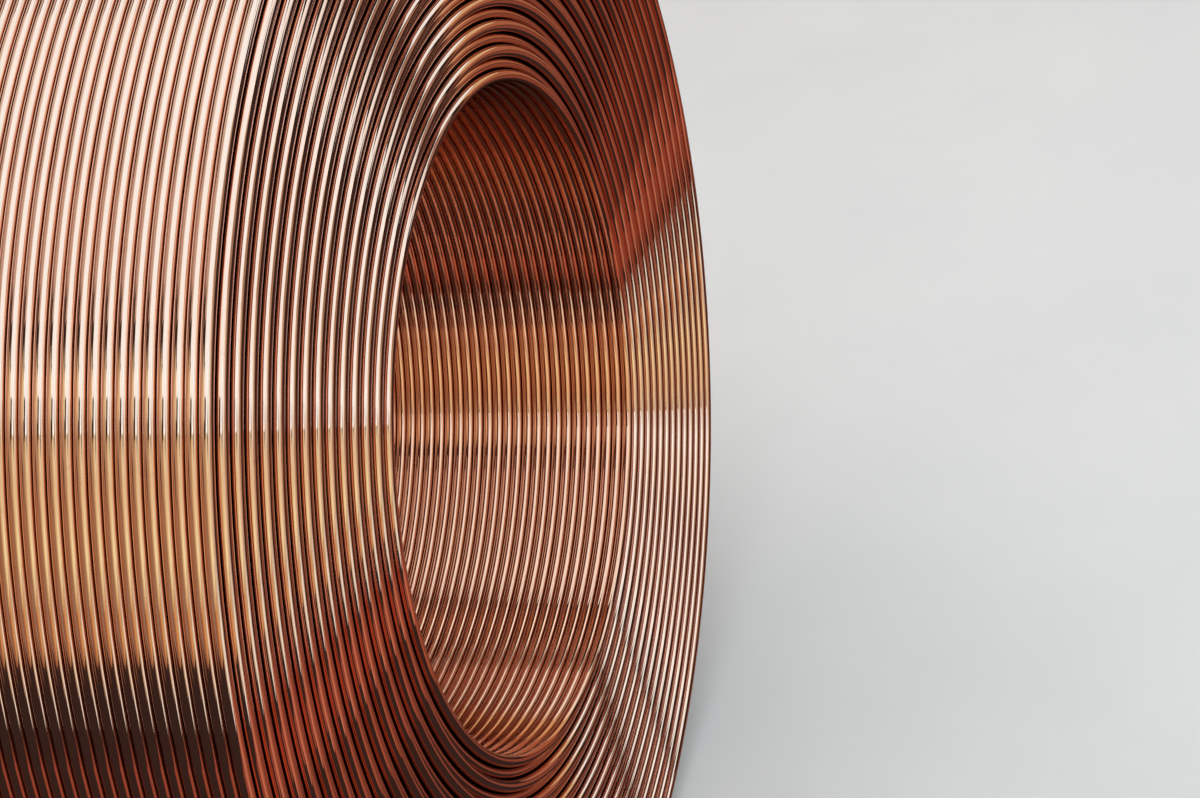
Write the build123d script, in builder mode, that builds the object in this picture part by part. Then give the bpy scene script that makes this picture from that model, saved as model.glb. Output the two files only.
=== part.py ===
"""Level-wound coil of bare copper tube, standing on its rim.

The coil is one length of tube, wound in layers round a mandrel that was drawn out again.
It is one turned solid. Its section is the outline of the stacked layers: every second layer is
wound half a turn's width further along, so the layers step in and out on both ends.
Millimetres. X runs along the coil's axis and Z is up. The origin is on the floor, under the
middle of the coil.
"""

import os
from math import sqrt

from build123d import *

# The tube and how it is wound
tube_diameter = 10.0
turns_per_layer = 33
layer_count = 28
layer_pitch = 10.2
mandrel_diameter = 560.0

# Turns of one layer lie side by side, and every second layer is shifted by half a turn
turn_pitch = tube_diameter
layer_shift = turn_pitch / 2
layer_length = turns_per_layer * turn_pitch
coil_width = layer_length + layer_shift

# Radii of the bore, of the innermost and outermost centre lines, and of the outside
bore_radius = mandrel_diameter / 2
first_layer_radius = bore_radius + tube_diameter / 2
last_layer_radius = first_layer_radius + (layer_count - 1) * layer_pitch
outer_radius = last_layer_radius + tube_diameter / 2

# The rims are cut back at 45 degrees until they touch the round of the corner turns
rim_chamfer = tube_diameter * (1 - sqrt(0.5))


def layer_radius(layer):
    """Radius of a layer's centre line. Layer 0 is the one wound on the mandrel."""
    return first_layer_radius + layer * layer_pitch


def front_crest(layer):
    """Where a layer ends towards +X. Even layers are flush there and odd layers are set back."""
    return coil_width / 2 - (layer_shift if layer % 2 else 0)


def back_crest(layer):
    """Where a layer ends towards -X. All layers are equally long."""
    return front_crest(layer) - layer_length


def end_outline(crest):
    """One end of the section from the bore outwards, through the crest of every layer's last turn."""
    crests = [(layer_radius(layer), crest(layer)) for layer in range(layer_count)]
    return [(bore_radius, crest(0)), *crests, (outer_radius, crest(layer_count - 1))]


# The section stands upright over the axis: its local x is the radius and its local y runs along X
section_plane = Plane(origin=(0, 0, outer_radius), x_dir=(0, 0, 1), z_dir=(0, 1, 0))
coil_axis = Axis((0, 0, outer_radius), (1, 0, 0))

with BuildPart() as tube_coil:
    with BuildSketch(section_plane):
        with BuildLine():
            Polyline(*end_outline(front_crest), *reversed(end_outline(back_crest)), close=True)
        make_face()
    revolve(axis=coil_axis)
    rings = tube_coil.edges().filter_by(GeomType.CIRCLE).group_by(SortBy.RADIUS)
    chamfer([*rings[0], *rings[-1]], rim_chamfer)

tube_coil.part.label = "tube_coil"

os.makedirs("parts", exist_ok=True)
export_step(tube_coil.part, "parts/tube_coil.step")
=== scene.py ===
"""Looks of a level-wound coil of bare copper tube that stands on its rim.

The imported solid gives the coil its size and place. Here it is dressed with its real turns: closed
rings of round tube over the whole outermost and innermost layers, and the last turns of every
layer between them on both ends. Metres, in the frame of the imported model: X runs along the
coil's axis, Z is up and the origin is on the floor under the middle of the coil.
"""

import logging
import math
from dataclasses import dataclass, field
from enum import Enum
from typing import Any

import bpy
import numpy as np
from mathutils import Matrix, Vector


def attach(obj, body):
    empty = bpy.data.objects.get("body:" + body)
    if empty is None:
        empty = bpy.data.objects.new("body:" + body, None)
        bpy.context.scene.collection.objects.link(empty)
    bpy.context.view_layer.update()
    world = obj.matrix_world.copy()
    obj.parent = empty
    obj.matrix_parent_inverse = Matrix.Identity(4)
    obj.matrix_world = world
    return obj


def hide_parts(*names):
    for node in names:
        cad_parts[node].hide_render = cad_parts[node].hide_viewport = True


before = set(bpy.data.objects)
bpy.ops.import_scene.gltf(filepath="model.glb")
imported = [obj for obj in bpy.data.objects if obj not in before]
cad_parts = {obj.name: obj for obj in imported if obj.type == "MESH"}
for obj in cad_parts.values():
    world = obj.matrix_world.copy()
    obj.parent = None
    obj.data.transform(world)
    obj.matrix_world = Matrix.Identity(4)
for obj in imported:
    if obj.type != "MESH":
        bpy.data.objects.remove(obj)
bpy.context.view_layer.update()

NODE = "tube_coil"
BODY = "root"
SEED = 20
TONE = "turn_tone"
OPENNESS = "openness"

log = logging.getLogger("tube_coil")

Colour = tuple[float, float, float]


# Shader maths


class Value:
    """A number that a shader socket gives out. Python's operators on it add Math nodes."""

    def __init__(self, sheet: "Sheet", socket: bpy.types.NodeSocket) -> None:
        """Wraps one output socket.

        Args:
            sheet: The material's sheet of nodes.
            socket: The output socket that gives the number.
        """
        self.sheet = sheet
        self.socket = socket

    def _math(self, operation: str, *parts: "Value | float") -> "Value":
        """Adds one Math node.

        Args:
            operation: The node's operation.
            parts: Its values, in order.

        Returns:
            The node's result.
        """
        inputs = dict(enumerate(parts))
        return self.sheet.value("ShaderNodeMath", {"operation": operation}, inputs)

    def __add__(self, other: "Value | float") -> "Value":
        """This plus another."""
        return self._math("ADD", self, other)

    def __radd__(self, other: float) -> "Value":
        """A number plus this."""
        return self._math("ADD", other, self)

    def __sub__(self, other: "Value | float") -> "Value":
        """This less another."""
        return self._math("SUBTRACT", self, other)

    def __rsub__(self, other: float) -> "Value":
        """A number less this."""
        return self._math("SUBTRACT", other, self)

    def __mul__(self, other: "Value | float") -> "Value":
        """This times another."""
        return self._math("MULTIPLY", self, other)

    def __rmul__(self, other: float) -> "Value":
        """A number times this."""
        return self._math("MULTIPLY", other, self)

    def __pow__(self, other: float) -> "Value":
        """This to a power."""
        return self._math("POWER", self, other)

    def between(self, low: float, high: float) -> "Value":
        """Rises smoothly from 0 at low to 1 at high.

        Args:
            low: Where the result leaves 0.
            high: Where the result reaches 1.

        Returns:
            The smooth step of this value.
        """
        settings = {"interpolation_type": "SMOOTHSTEP"}
        inputs = {"Value": self, "From Min": low, "From Max": high}
        return self.sheet.value("ShaderNodeMapRange", settings, inputs)


class Sheet:
    """The nodes of one material, and the one method that makes them."""

    # Numbers of the colour sockets of a Mix node: the names of its sockets are not unique
    FIRST_COLOUR, SECOND_COLOUR, MIXED_COLOUR = 6, 7, 2

    def __init__(self, name: str) -> None:
        """Starts an empty material.

        Args:
            name: The material's name.
        """
        self.material = bpy.data.materials.new(name)
        self.material.use_nodes = True
        self.tree = self.material.node_tree
        self.tree.nodes.clear()

    def node(self, kind: str, settings: dict[str, Any] | None = None,
             inputs: dict[Any, Any] | None = None) -> bpy.types.Node:
        """Makes one node.

        Args:
            kind: The node's type.
            settings: The node's own settings, which are made first.
            inputs: Values or links of its sockets, by name or number.

        Returns:
            The new node.
        """
        made = self.tree.nodes.new(kind)
        for name, setting in (settings or {}).items():
            setattr(made, name, setting)
        for key, given in (inputs or {}).items():
            socket = made.inputs[key]
            given = given.socket if isinstance(given, Value) else given
            if isinstance(given, bpy.types.NodeSocket):
                self.tree.links.new(given, socket)
            else:
                socket.default_value = given
        return made

    def value(self, kind: str, settings: dict[str, Any] | None = None,
              inputs: dict[Any, Any] | None = None, output: Any = 0) -> Value:
        """Makes one node and wraps one of its outputs.

        Args:
            kind: The node's type.
            settings: The node's own settings.
            inputs: Values or links of its sockets.
            output: Name or number of the output that is wanted.

        Returns:
            The wrapped output.
        """
        return Value(self, self.node(kind, settings, inputs).outputs[output])

    def mix(self, share: "Value | float", first: Any, second: Any) -> bpy.types.NodeSocket:
        """Mixes two colours.

        Args:
            share: How much of the second colour there is, from 0 to 1.
            first: Colour or socket.
            second: Colour or socket.

        Returns:
            The socket with the mixed colour.
        """
        inputs = {"Factor": share, self.FIRST_COLOUR: first, self.SECOND_COLOUR: second}
        return self.node("ShaderNodeMix", {"data_type": "RGBA"}, inputs).outputs[self.MIXED_COLOUR]

    def finished(self, surface: dict[str, Any]) -> bpy.types.Material:
        """Adds the shader and the output.

        Args:
            surface: Values or links of the shader's sockets.

        Returns:
            The finished material.
        """
        shader = self.node("ShaderNodeBsdfPrincipled", None, surface)
        self.node("ShaderNodeOutputMaterial", None, {"Surface": shader.outputs[0]})
        return self.material


# Finishes


@dataclass(frozen=True)
class DrawnCopper:
    """Bright drawn copper tube.

    It has faint lines along the tube and soft changes of tone and gloss. Painted reflection makes the
    flanks redder towards the crevices between turns; painted shade reddens the bore's wall and makes
    the crevices near-black deep down.
    """

    name: str = "drawn_copper"
    axis_height: float = 0.5654
    bore_radius: float = 0.28
    bright: Colour = (0.955, 0.638, 0.538)
    warm: Colour = (0.945, 0.57, 0.45)
    tarnish: Colour = (0.66, 0.33, 0.24)
    # Painted reflection and shade: the red of copper light bounced between turns and inside the bore
    bounce_and_shade_red: Colour = (0.90, 0.41, 0.25)
    # Painted shade: the near-black of the crevices between turns
    crevice_shade: Colour = (0.05, 0.018, 0.012)
    gloss: float = 0.05
    line_pitch: float = 0.0007
    line_length: float = 0.30
    cloud_scale: float = 7.0
    stain_scale: float = 34.0
    swell_scale: float = 16.0
    spot_noise: tuple[float, float] = (0.60, 0.80)
    spot_share: float = 0.35
    # Where and how strongly the painted red reflection lies on the flanks towards the crevices
    bounce_openness: tuple[float, float] = (0.40, 0.90)
    bounce_share: float = 0.7
    # How deep and how strong the painted shade on the bore's wall is
    bore_shade_depth: float = 0.006
    bore_shade_share: float = 0.6
    # Openness below which the painted crevice shade sets in
    shade_openness: tuple[float, float] = (0.20, 0.48)
    relief_strength: float = 0.05
    relief_depth: float = 0.0004

    def material(self) -> bpy.types.Material:
        """Builds the material. It reads each turn's tone and openness from the meshes.

        Returns:
            The material.
        """
        sheet = Sheet(self.name)
        place = sheet.node("ShaderNodeTexCoord").outputs["Object"]
        centred = sheet.node("ShaderNodeVectorMath", {"operation": "SUBTRACT"},
                             {0: place, 1: (0.0, 0.0, self.axis_height)}).outputs[0]
        parts = sheet.node("ShaderNodeSeparateXYZ", None, {0: centred})
        along, across, upright = (Value(sheet, parts.outputs[i]) for i in range(3))
        radius = (across * across + upright * upright) ** 0.5
        # Across the tube the pattern is fine, and round the coil it is long: x and the radius are
        # stretched much more than y and z, which only turn slowly along a turn
        fine, coarse = 1.0 / self.line_pitch, 1.0 / self.line_length
        drawn_place = sheet.node("ShaderNodeCombineXYZ", None, {
            0: fine * along, 1: coarse * across, 2: coarse * upright}).outputs[0]
        lines = sheet.value("ShaderNodeTexNoise", {"noise_dimensions": "4D"}, {
            "Vector": drawn_place, "W": fine * radius, "Scale": 1.0, "Detail": 3.0,
            "Roughness": 0.6})
        clouds = sheet.value("ShaderNodeTexNoise", None, {
            "Vector": place, "Scale": self.cloud_scale, "Detail": 4.0, "Roughness": 0.55})
        stains = sheet.value("ShaderNodeTexNoise", None, {
            "Vector": place, "Scale": self.stain_scale, "Detail": 6.0, "Roughness": 0.65,
            "Distortion": 0.4})
        turn_tone = sheet.value("ShaderNodeAttribute", {"attribute_name": TONE}, output="Fac")
        openness = sheet.value("ShaderNodeAttribute", {"attribute_name": OPENNESS}, output="Fac")

        redder = (clouds - 0.5) * 0.7 + turn_tone * 0.25 + (lines - 0.5) * 0.30 + 0.08
        tone = sheet.mix(redder.between(0.0, 1.0), (*self.bright, 1.0), (*self.warm, 1.0))
        spots = stains.between(*self.spot_noise) * self.spot_share
        stained = sheet.mix(spots, tone, (*self.tarnish, 1.0))
        # Painted reflection: the flanks turn redder towards the crevices, as turns mirror each other
        # there
        bounce_mask = (1.0 - openness.between(*self.bounce_openness)) * self.bounce_share
        with_bounce = sheet.mix(bounce_mask, stained, (*self.bounce_and_shade_red, 1.0))
        # Painted shade: the bore's wall, which is the inner side of the innermost layer, is made a
        # little redder, standing in for the shade and red bounced light inside the bore
        beyond = radius.between(self.bore_radius, self.bore_radius + self.bore_shade_depth)
        bore_shade = (1.0 - beyond) * self.bore_shade_share
        bore_shaded = sheet.mix(bore_shade, with_bounce, (*self.bounce_and_shade_red, 1.0))
        # Painted shade: near-black and duller deep in the crevices between turns
        painted_shade = 1.0 - openness.between(*self.shade_openness)
        colour = sheet.mix(painted_shade, bore_shaded, (*self.crevice_shade, 1.0))
        gloss = (self.gloss + (lines - 0.5) * 0.02 + (clouds - 0.5) * 0.03 + spots * 0.30
                 + painted_shade * 0.35)

        swell = sheet.value("ShaderNodeTexNoise", None, {
            "Vector": place, "Scale": self.swell_scale, "Detail": 2.0})
        relief = sheet.node("ShaderNodeBump", None, {
            "Strength": self.relief_strength, "Distance": self.relief_depth,
            "Height": lines * 0.12 + swell * 4.0}).outputs[0]
        return sheet.finished({
            "Base Color": colour, "Metallic": 1.0, "Roughness": gloss, "Normal": relief})


@dataclass(frozen=True)
class StudioFloor:
    """A plain pale floor with a faint, even grain."""

    name: str = "pale_floor"
    pale: Colour = (0.82, 0.81, 0.80)
    shade: Colour = (0.78, 0.775, 0.77)
    roughness: float = 0.75
    grain_scale: float = 2.2

    def material(self) -> bpy.types.Material:
        """Builds the material.

        Returns:
            The material.
        """
        sheet = Sheet(self.name)
        place = sheet.node("ShaderNodeTexCoord").outputs["Object"]
        grain = sheet.value("ShaderNodeTexNoise", None, {
            "Vector": place, "Scale": self.grain_scale, "Detail": 6.0, "Roughness": 0.6})
        colour = sheet.mix(grain.between(0.3, 0.7), (*self.pale, 1.0), (*self.shade, 1.0))
        return sheet.finished({"Base Color": colour, "Roughness": self.roughness})


# The coil


@dataclass(frozen=True)
class Winding:
    """How the tube is wound, with the same sizes as the part's source, in metres."""

    tube_diameter: float = 0.010
    turns_per_layer: int = 33
    layer_count: int = 28
    layer_pitch: float = 0.0102
    mandrel_diameter: float = 0.560

    @property
    def tube_radius(self) -> float:
        """Half the tube's diameter."""
        return self.tube_diameter / 2

    @property
    def layer_shift(self) -> float:
        """How far every second layer is set back: half a turn."""
        return self.tube_diameter / 2

    @property
    def width(self) -> float:
        """The coil's width along its axis."""
        return self.turns_per_layer * self.tube_diameter + self.layer_shift

    @property
    def outer_radius(self) -> float:
        """Radius of the outside, which is also the axis's height over the floor."""
        return self.layer_radius(np.array(self.layer_count - 1)) + self.tube_radius

    def has(self, layer: np.ndarray, turn: np.ndarray) -> np.ndarray:
        """Whether there are such turns.

        Args:
            layer: Numbers of the layers.
            turn: Numbers of the turns.

        Returns:
            True where both numbers lie within the coil.
        """
        return (layer >= 0) & (layer < self.layer_count) & (turn >= 0) & (turn < self.turns_per_layer)

    def layer_radius(self, layer: np.ndarray) -> np.ndarray:
        """Radius of layers' centre lines. Layer 0 lies on the mandrel.

        Args:
            layer: Numbers of the layers.

        Returns:
            Mandrel radius, plus half a tube, plus a pitch for each layer.
        """
        return self.mandrel_diameter / 2 + self.tube_radius + layer * self.layer_pitch

    def turn_place(self, layer: np.ndarray, turn: np.ndarray) -> np.ndarray:
        """Where turns lie along the axis. Turn 0 is the one nearest to +X.

        Args:
            layer: Numbers of the layers.
            turn: Numbers of the turns.

        Returns:
            X of each turn's centre: odd layers lie half a turn further back.
        """
        first = self.width / 2 - self.tube_radius - (layer % 2) * self.layer_shift
        return first - turn * self.tube_diameter


class End(Enum):
    """An end of the coil, by the sign of X."""

    FRONT = 1
    BACK = -1


@dataclass
class Turns:
    """A set of closed turns of tube that makes one piece.

    Each turn is a ring: a circle of the tube's radius carried round a circle of the layer's
    radius, with a slow wave of a fraction of a millimetre in both directions.
    """

    name: str
    winding: Winding
    layers: np.ndarray
    turns: np.ndarray
    steps_round: int = 150
    steps_section: int = 16
    wave_sideways: float = 0.00012
    wave_radial: float = 0.00008
    slack: float = 0.00004
    rays: int = 31
    seed: int = SEED

    def waves(self, count: int, angle: np.ndarray, size: float,
              rng: np.random.Generator) -> np.ndarray:
        """Slow seeded waves, one row a turn.

        Args:
            count: How many turns there are.
            angle: Angles round the coil.
            size: The largest reach of a wave.
            rng: The source of chance.

        Returns:
            For each turn a sum of three sines, which close on themselves, times the size.
        """
        beats = np.array([2, 3, 5])[None, :, None]
        phase = rng.uniform(0, 2 * np.pi, (count, 3, 1))
        share = rng.dirichlet(np.ones(3), count)[:, :, None]
        return size * (share * np.sin(beats * angle[None, None, :] + phase)).sum(axis=1)

    def surface(self) -> tuple[np.ndarray, np.ndarray]:
        """The rings as one grid.

        With u the angle round the coil and v the angle round the tube, a ring of radius R at
        place c has reach = R + a cos v, and its points are
        (c + a sin v, -reach sin u, H + reach cos u), where H is the axis's height.

        Returns:
            Points, shaped turns x round x section x 3, and each turn's own tone.
        """
        rng = np.random.default_rng(self.seed)
        centre = self.winding.turn_place(self.layers, self.turns)
        radius = self.winding.layer_radius(self.layers)
        count = len(centre)
        around = np.linspace(0, 2 * np.pi, self.steps_round, endpoint=False)
        section = np.linspace(0, 2 * np.pi, self.steps_section, endpoint=False)
        tube = self.winding.tube_radius - self.slack
        sideways = self.waves(count, around, self.wave_sideways, rng)
        inward = self.waves(count, around, self.wave_radial, rng)
        limit = self.winding.width / 2 - self.winding.tube_radius
        x = np.clip(centre[:, None] + sideways, -limit, limit)[:, :, None]
        lift = np.where(self.layers == self.winding.layer_count - 1, -1.0, 1.0)[:, None]
        reach = (radius[:, None] + lift * np.abs(inward))[:, :, None]
        reach = reach + tube * np.cos(section)[None, None, :]
        x = x + tube * np.sin(section)[None, None, :]
        y = -reach * np.sin(around)[None, :, None]
        z = self.winding.outer_radius + reach * np.cos(around)[None, :, None]
        return np.stack(np.broadcast_arrays(x, y, z), axis=-1), rng.random(count)

    def openness(self) -> np.ndarray:
        """How open each point of a turn's section lies, from 0 in a crevice to 1.

        In the flat section through the coil, rays leave the point over the half turn round its
        normal. A ray is stopped by a neighbour when the neighbour's centre lies ahead of the
        point and less than a tube's radius off the ray. Open rays count by the cosine of their
        angle to the normal.

        Returns:
            An array of turns x section.
        """
        wind = self.winding
        radius = wind.tube_radius
        step = np.array([-1, 0, 1])
        aside, over = (part.ravel() for part in np.meshgrid(step, step))
        near_layer = self.layers[:, None] + over[(aside != 0) | (over != 0)]
        near_turn = self.turns[:, None] + aside[(aside != 0) | (over != 0)]
        real = wind.has(near_layer, near_turn)[:, None, None, :]
        own_x, own_r = wind.turn_place(self.layers, self.turns), wind.layer_radius(self.layers)
        reach_x = wind.turn_place(near_layer, near_turn) - own_x[:, None]
        reach_r = wind.layer_radius(near_layer) - own_r[:, None]
        normal = np.linspace(0, 2 * np.pi, self.steps_section, endpoint=False)[None, :, None, None]
        lean = np.linspace(-0.5, 0.5, self.rays + 2)[None, None, 1:-1, None] * np.pi
        to_x = reach_x[:, None, None, :] - radius * np.sin(normal)
        to_r = reach_r[:, None, None, :] - radius * np.cos(normal)
        ray_x, ray_r = np.sin(normal + lean), np.cos(normal + lean)
        ahead = to_x * ray_x + to_r * ray_r > 0
        close = np.abs(to_x * ray_r - to_r * ray_x) < radius
        free = ~(ahead & close & real).any(axis=-1)
        share = np.cos(lean[..., 0])
        return (free * share).sum(axis=-1) / share.sum()

    def faces(self) -> np.ndarray:
        """Corner numbers of the quads of every ring, closed both ways and facing outwards.

        Returns:
            An array of quads x 4.
        """
        ring = np.arange(len(self.layers))[:, None, None]
        u = np.arange(self.steps_round)[None, :, None]
        v = np.arange(self.steps_section)[None, None, :]
        u_next, v_next = (u + 1) % self.steps_round, (v + 1) % self.steps_section

        def corner(at_u: np.ndarray, at_v: np.ndarray) -> np.ndarray:
            """Number of the point at one place of the grid."""
            return (ring * self.steps_round + at_u) * self.steps_section + at_v

        corners = [corner(u, v), corner(u_next, v), corner(u_next, v_next), corner(u, v_next)]
        return np.stack(np.broadcast_arrays(*corners), axis=-1).reshape(-1, 4)

    def build(self, material: bpy.types.Material) -> bpy.types.Object:
        """Makes the piece and lets it ride on its body in place of the solid.

        Args:
            material: Its finish.

        Returns:
            The new object.
        """
        points, tone = self.surface()
        quads = self.faces()
        mesh = bpy.data.meshes.new(self.name)
        mesh.vertices.add(points.size // 3)
        mesh.vertices.foreach_set("co", points.astype(np.float32).ravel())
        mesh.loops.add(quads.size)
        mesh.loops.foreach_set("vertex_index", quads.astype(np.int32).ravel())
        mesh.polygons.add(len(quads))
        mesh.polygons.foreach_set("loop_start", np.arange(0, quads.size, 4, dtype=np.int32))
        mesh.polygons.foreach_set("use_smooth", np.ones(len(quads), dtype=bool))
        grid = points.shape[:3]
        values = {TONE: tone[:, None, None], OPENNESS: self.openness()[:, None, :]}
        for attribute, value in values.items():
            layer = mesh.attributes.new(attribute, "FLOAT", "POINT")
            layer.data.foreach_set("value", np.broadcast_to(value, grid).astype(np.float32).ravel())
        mesh.update(calc_edges=True)
        mesh.validate()
        mesh.materials.append(material)
        piece = bpy.data.objects.new(self.name, mesh)
        bpy.context.collection.objects.link(piece)
        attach(piece, BODY)
        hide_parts(NODE)
        log.info("%s: %d turns, %d triangles", self.name, len(self.layers), 2 * len(quads))
        return piece


@dataclass
class Coil:
    """The whole coil: its outermost and innermost layers, and the ends of those between."""

    winding: Winding = field(default_factory=Winding)
    finish: DrawnCopper = field(default_factory=DrawnCopper)
    end_turns: int = 2

    def whole_layer(self, name: str, layer: int, seed: int) -> Turns:
        """All turns of one layer.

        Args:
            name: The piece's name.
            layer: The layer's number.
            seed: Its source of chance.

        Returns:
            The set of turns.
        """
        turns = np.arange(self.winding.turns_per_layer)
        return Turns(name, self.winding, np.full_like(turns, layer), turns, seed=seed)

    def layer_ends(self, name: str, layers: range, end: End, seed: int) -> Turns:
        """The last turns of several layers at one end.

        Args:
            name: The piece's name.
            layers: The layers' numbers.
            end: Which end.
            seed: Its source of chance.

        Returns:
            The set of turns.
        """
        near = np.arange(self.end_turns)
        if end is End.BACK:
            near = self.winding.turns_per_layer - 1 - near
        layer, turn = np.meshgrid(np.array(layers), near, indexing="ij")
        return Turns(name, self.winding, layer.ravel(), turn.ravel(), seed=seed)

    def build(self) -> list[bpy.types.Object]:
        """Builds every piece of the coil.

        Returns:
            The pieces.
        """
        last = self.winding.layer_count - 1
        middle = (last + 1) // 2
        inner, outer = range(1, middle), range(middle, last)
        sets = [
            self.whole_layer("outer_layer", last, SEED),
            self.whole_layer("bore_layer", 0, SEED + 1),
            self.layer_ends("front_end_inner", inner, End.FRONT, SEED + 2),
            self.layer_ends("front_end_outer", outer, End.FRONT, SEED + 3),
            self.layer_ends("back_end_inner", inner, End.BACK, SEED + 4),
            self.layer_ends("back_end_outer", outer, End.BACK, SEED + 5),
        ]
        material = self.finish.material()
        return [turns.build(material) for turns in sets]


# The studio


def soft_light(name: str, width: float, length: float, glow: Colour, place: Matrix,
               mirrored: bool = True, lights_floor: bool = True) -> bpy.types.Object:
    """Makes a soft rectangular light that the camera doesn't see.

    Args:
        name: The light's name.
        width: Its size along its own X, in metres.
        length: Its size along its own Y, in metres.
        glow: The brightness of its face.
        place: Where it is; it shines along its own -Z.
        mirrored: Whether it shows in the metal.
        lights_floor: Whether it lights the floor and the backdrop.

    Returns:
        The light's object.
    """
    strongest = max(glow)
    lamp = bpy.data.lights.new(name, "AREA")
    lamp.shape = "RECTANGLE"
    lamp.size, lamp.size_y = width, length
    lamp.energy = strongest * width * length * math.pi
    lamp.color = tuple(part / strongest for part in glow)
    placed = bpy.data.objects.new(name, lamp)
    placed.matrix_world = place
    placed.visible_camera = False
    placed.visible_glossy, placed.visible_diffuse = mirrored, lights_floor
    bpy.context.collection.objects.link(placed)
    log.info("%s: %.1f W", name, lamp.energy)
    return placed


@dataclass(frozen=True)
class CeilingPanel:
    """A level soft light over the coil, which also lights the floor.

    Right, back and height are measured from the studio's aim.
    """

    name: str
    right: float
    back: float
    width: float
    length: float
    glow: Colour
    height: float = 6.0
    mirrored: bool = True

    def build(self, aim: Vector) -> bpy.types.Object:
        """Makes the panel.

        Args:
            aim: The point that its place is measured from.

        Returns:
            The light's object.
        """
        place = Matrix.Translation(aim + Vector((self.right, self.back, self.height)))
        return soft_light(self.name, self.width, self.length, self.glow, place, self.mirrored)


@dataclass(frozen=True)
class SoftBox:
    """A soft rectangular light that faces the coil. It shows in the metal and lights nothing else.

    Heading is the angle round the coil from straight in front (-Y) towards +X, and height the
    angle over the level. Broad and tall are how far it spreads in heading and in height. All
    four are in degrees. Glow is the brightness of its face.
    """

    name: str
    heading: float
    height: float
    broad: float
    tall: float
    glow: Colour
    distance: float = 8.0

    def build(self, aim: Vector) -> bpy.types.Object:
        """Makes the light.

        Args:
            aim: The point that it faces.

        Returns:
            The light's object.
        """
        heading, height = math.radians(self.heading), math.radians(self.height)
        away = Vector((math.sin(heading) * math.cos(height),
                       -math.cos(heading) * math.cos(height), math.sin(height)))
        place = (Matrix.Translation(aim + away * self.distance)
                 @ away.to_track_quat("Z", "Y").to_matrix().to_4x4())
        width = 2 * self.distance * math.tan(math.radians(self.broad) / 2) * math.cos(height)
        length = 2 * self.distance * math.tan(math.radians(self.tall) / 2)
        return soft_light(self.name, width, length, self.glow, place, lights_floor=False)


@dataclass(frozen=True)
class Viewpoint:
    """The photograph's viewing angle. Angles in degrees, places in metres, lens in millimetres."""

    place: tuple[float, float, float] = (0.90936, -1.65604, 1.71716)
    heading: float = 22.17
    dip: float = 32.36
    roll: float = -12.70
    lens: float = 77.03
    sensor: float = 36.0
    nearest: float = 0.05
    farthest: float = 60.0

    def build(self) -> bpy.types.Object:
        """Makes the camera and gives it to the scene.

        Returns:
            The camera's object.
        """
        lens = bpy.data.cameras.new("camera")
        lens.lens, lens.sensor_width, lens.sensor_fit = self.lens, self.sensor, "HORIZONTAL"
        lens.clip_start, lens.clip_end = self.nearest, self.farthest
        camera = bpy.data.objects.new("camera", lens)
        camera.matrix_world = (
            Matrix.Translation(self.place)
            @ Matrix.Rotation(math.radians(self.heading), 4, "Z")
            @ Matrix.Rotation(math.radians(90.0 - self.dip), 4, "X")
            @ Matrix.Rotation(math.radians(self.roll), 4, "Z"))
        bpy.context.collection.objects.link(camera)
        bpy.context.scene.camera = camera
        return camera


@dataclass(frozen=True)
class Backdrop:
    """A pale floor that sweeps up into a round wall, all in one surface."""

    finish: StudioFloor = field(default_factory=StudioFloor)
    flat_rings: tuple[float, ...] = (0.02, 1.0, 3.0, 6.0)
    flat_radius: float = 9.0
    sweep_radius: float = 4.0
    height: float = 9.0
    steps_round: int = 96
    steps_sweep: int = 12

    def profile(self) -> tuple[np.ndarray, np.ndarray]:
        """The outline that is turned round Z: flat, then a quarter circle, then upright.

        Returns:
            Radii and heights, from the middle outwards.
        """
        turn = np.linspace(0, np.pi / 2, self.steps_sweep + 1)
        radius = self.flat_radius + self.sweep_radius * np.sin(turn)
        rise = self.sweep_radius * (1 - np.cos(turn))
        return (np.concatenate([self.flat_rings, radius, radius[-1:]]),
                np.concatenate([np.zeros(len(self.flat_rings)), rise, [self.height]]))

    def build(self) -> bpy.types.Object:
        """Makes the surface. The copper doesn't mirror it.

        Returns:
            The backdrop's object.
        """
        radius, rise = self.profile()
        angle = np.linspace(0, 2 * np.pi, self.steps_round, endpoint=False)
        x, y = radius[:, None] * np.cos(angle), radius[:, None] * np.sin(angle)
        points = np.stack(np.broadcast_arrays(x, y, rise[:, None]), axis=-1).reshape(-1, 3)
        ring = np.arange(len(radius) - 1)[:, None] * self.steps_round
        near = np.arange(self.steps_round)[None, :]
        far = (near + 1) % self.steps_round
        above = ring + self.steps_round
        corners = [ring + near, above + near, above + far, ring + far]
        quads = np.stack(corners, axis=-1).reshape(-1, 4)
        mesh = bpy.data.meshes.new("backdrop")
        mesh.from_pydata(points.tolist(), [], [*quads.tolist(), near[0].tolist()])
        mesh.polygons.foreach_set("use_smooth", np.ones(len(quads) + 1, dtype=bool))
        mesh.materials.append(self.finish.material())
        made = bpy.data.objects.new("backdrop", mesh)
        made.visible_glossy = False
        bpy.context.collection.objects.link(made)
        return made


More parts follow.
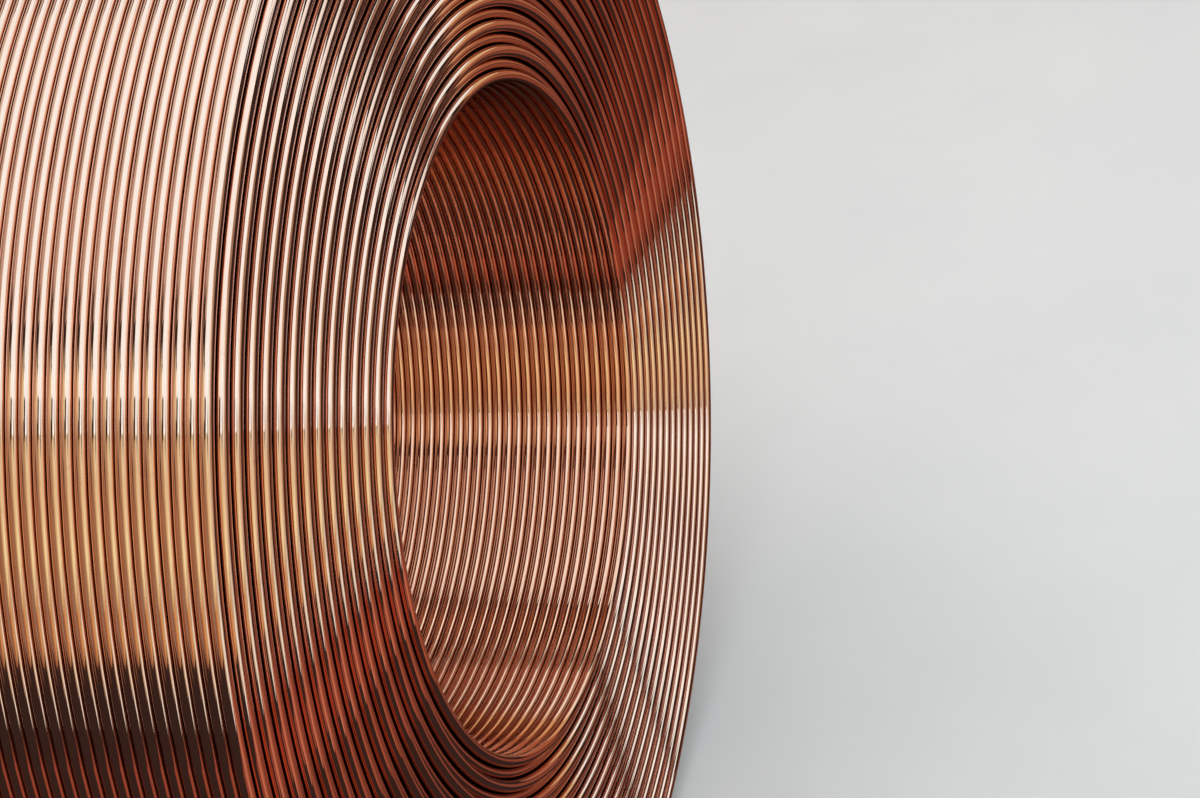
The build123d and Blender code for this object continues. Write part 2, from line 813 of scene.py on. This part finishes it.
@dataclass
class Studio:
    """Plain pale backdrop, soft lights and the camera."""

    aim: Vector
    surround: Colour = (0.037, 0.022, 0.019)
    view: Viewpoint = field(default_factory=Viewpoint)
    backdrop: Backdrop = field(default_factory=Backdrop)
    # Most glows are medians of the photo's copper colours, divided by copper's own colour, for the
    # direction that the light lies in. A measuring script printed them; they weren't chosen by eye.
    lights: tuple[CeilingPanel | SoftBox, ...] = (
        CeilingPanel("ceiling_main", 3.7, -3.0, 8.8, 9.4, (0.98, 1.28, 1.36)),
        CeilingPanel("ceiling_front", 5.4, -8.5, 5.2, 1.6, (0.98, 1.28, 1.36)),
        CeilingPanel("ceiling_back", 7.8, 4.4, 6.0, 5.1, (0.95, 1.20, 1.22)),
        CeilingPanel("ceiling_edge", -1.2, -3.0, 1.0, 7.0, (0.80, 0.90, 0.83)),
        CeilingPanel("left_near", -3.7, 0.2, 4.0, 2.8, (0.64, 0.58, 0.49)),
        CeilingPanel("left_front", -3.2, -3.2, 3.0, 4.0, (0.52, 0.42, 0.32)),
        CeilingPanel("left_far", -6.4, -2.6, 3.2, 2.8, (0.60, 0.48, 0.40)),
        CeilingPanel("left_back", -3.7, 3.0, 4.0, 2.8, (0.24, 0.15, 0.11)),
        SoftBox("upper_left", -62.0, 22.0, 24.0, 9.0, (0.62, 0.40, 0.24)),
        SoftBox("upper_left_bend", -44.0, 30.0, 12.0, 9.0, (0.58, 0.45, 0.27)),
        SoftBox("upper_middle_left", -26.0, 36.0, 24.0, 8.0, (0.73, 0.70, 0.43)),
        SoftBox("upper_middle", -8.0, 38.0, 12.0, 7.0, (0.75, 0.73, 0.52)),
        SoftBox("far_left_edge", -86.0, 28.0, 24.0, 8.0, (0.50, 0.37, 0.28)),
        SoftBox("under_left", -74.0, 12.0, 24.0, 8.0, (0.44, 0.26, 0.15)),
        SoftBox("under_left_bend", -50.0, 12.0, 24.0, 8.0, (0.36, 0.18, 0.09)),
        SoftBox("shade_left", -23.0, 28.0, 42.0, 8.0, (0.42, 0.30, 0.17)),
        SoftBox("shade_left_low", -20.0, 16.0, 36.0, 16.0, (0.31, 0.19, 0.10)),
        SoftBox("pillar_left", 4.0, 20.0, 12.0, 24.0, (0.50, 0.38, 0.19)),
        SoftBox("pillar", 16.0, 20.0, 12.0, 24.0, (0.68, 0.62, 0.33)),
        SoftBox("gold_upper", 34.0, 20.0, 24.0, 8.0, (0.79, 0.75, 0.43)),
        SoftBox("gold_middle", 34.0, 12.0, 24.0, 8.0, (0.91, 0.99, 0.57)),
        SoftBox("gold_edge", 28.0, 27.0, 12.0, 6.0, (0.82, 0.88, 0.66)),
        SoftBox("window_low", 52.0, 12.0, 12.0, 24.0, (0.73, 0.71, 0.52)),
        SoftBox("window_high", 52.0, 28.0, 12.0, 8.0, (0.91, 1.11, 1.06)),
        SoftBox("window_bright", 64.0, 20.0, 12.0, 8.0, (0.94, 1.24, 1.32)),
        SoftBox("window_side", 64.0, 28.0, 12.0, 8.0, (0.78, 0.86, 0.76)),
        SoftBox("window_sill", 64.0, 8.0, 12.0, 16.0, (0.68, 0.62, 0.44)),
        SoftBox("far_right", 76.0, 16.0, 12.0, 16.0, (0.66, 0.65, 0.52)),
        SoftBox("right_long", 84.0, 32.0, 44.0, 9.0, (0.66, 0.58, 0.42)),
        SoftBox("right_shade", 94.0, 16.0, 24.0, 16.0, (0.34, 0.23, 0.14)),
        SoftBox("back_strip", 124.0, 18.0, 12.0, 20.0, (0.80, 0.90, 0.88)),
        SoftBox("back_shade", 138.0, 16.0, 14.0, 24.0, (0.33, 0.21, 0.14)),
        SoftBox("floor_left", -58.0, 0.0, 36.0, 16.0, (0.29, 0.13, 0.06)),
        SoftBox("floor_grey", -28.0, 4.0, 22.0, 8.0, (0.29, 0.22, 0.16)),
        SoftBox("floor_middle", -2.0, 4.0, 24.0, 8.0, (0.33, 0.15, 0.06)),
        SoftBox("floor_gold", 22.0, 4.0, 24.0, 8.0, (0.61, 0.38, 0.13)),
        SoftBox("floor_corner", 40.0, 0.0, 12.0, 16.0, (0.56, 0.45, 0.28)),
        SoftBox("floor_bright", 58.0, -8.0, 24.0, 14.0, (0.82, 1.00, 0.93)),
        SoftBox("floor_right", 76.0, -4.0, 12.0, 20.0, (0.50, 0.37, 0.24)),
        SoftBox("floor_far", 89.0, 0.0, 14.0, 16.0, (0.37, 0.22, 0.11)),
        SoftBox("red_middle", 44.0, -22.0, 26.0, 8.0, (0.27, 0.06, 0.03)),
        SoftBox("red_bright", 71.0, -24.0, 24.0, 16.0, (0.50, 0.20, 0.12)),
        SoftBox("red_right", 94.0, -34.0, 24.0, 20.0, (0.34, 0.09, 0.04)),
        SoftBox("red_back", 134.0, -34.0, 54.0, 20.0, (0.20, 0.05, 0.025)),
        SoftBox("rear_window", 180.0, 30.0, 66.0, 28.0, (0.90, 1.15, 1.20)),
        SoftBox("rear_gold", 180.0, 8.0, 60.0, 16.0, (0.62, 0.48, 0.26)),
        SoftBox("rear_red", 180.0, -10.0, 60.0, 20.0, (0.34, 0.13, 0.06)),
        CeilingPanel("backdrop_wash", 0.0, 0.0, 14.0, 14.0, (1.00, 0.90, 0.90), 8.0, mirrored=False),
    )

    def build(self) -> None:
        """Builds the backdrop, the lights, the surround and the camera."""
        self.backdrop.build()
        for light in self.lights:
            light.build(self.aim)
        self.build_surround()
        self.view.build()

    def build_surround(self) -> None:
        """Gives the scene an even, dim surround."""
        world = bpy.data.worlds.new("surround")
        world.use_nodes = True
        background = world.node_tree.nodes["Background"]
        background.inputs["Color"].default_value = (*self.surround, 1.0)
        background.inputs["Strength"].default_value = 1.0
        bpy.context.scene.world = world


def main() -> None:
    logging.basicConfig(level=logging.INFO, format="%(name)s %(message)s")
    coil = Coil()
    coil.build()
    Studio(aim=Vector((0.0, 0.0, coil.winding.outer_radius))).build()
    bpy.context.scene.view_settings.view_transform = "Standard"


if __name__ == "__main__":
    main()
